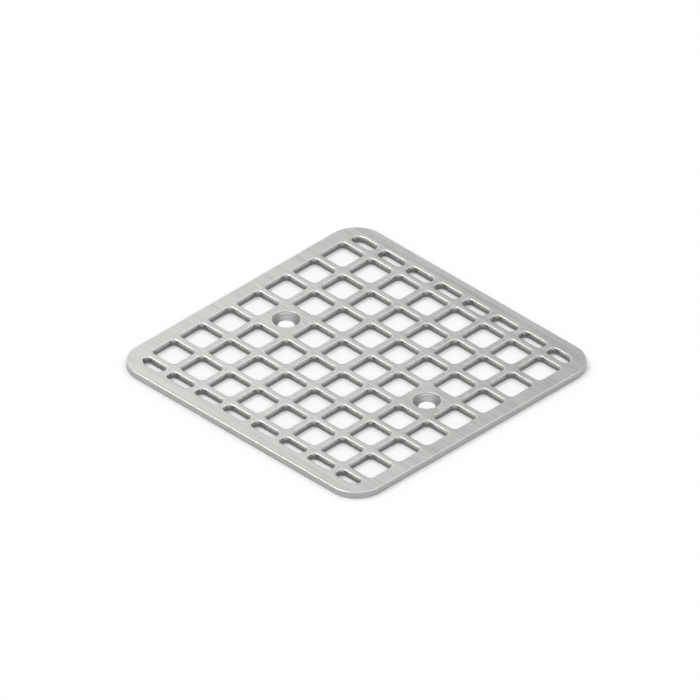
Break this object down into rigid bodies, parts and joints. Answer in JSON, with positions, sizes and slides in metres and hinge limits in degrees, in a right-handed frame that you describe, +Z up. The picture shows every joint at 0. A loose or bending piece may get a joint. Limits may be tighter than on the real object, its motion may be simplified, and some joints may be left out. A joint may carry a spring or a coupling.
{
  "type": "drain strainer plate",
  "caption": "Flat square strainer plate that screws over a shower or floor drain, with a grid of rounded square openings, narrow edge slots and countersunk screw holes.",
  "frame": {"origin": "middle of the plate's underside", "axes": "+Z up out of the face that is walked on, X along the line through the two screw holes, Y across it towards the slotted edges"},
  "size_m": [0.11, 0.11, 0.0024],
  "materials": {
    "satin_stainless": "satin, brushed one way"
  },
  "bodies": {
    "root": {"strainer_plate": "satin_stainless"}
  },
  "joints": []
}
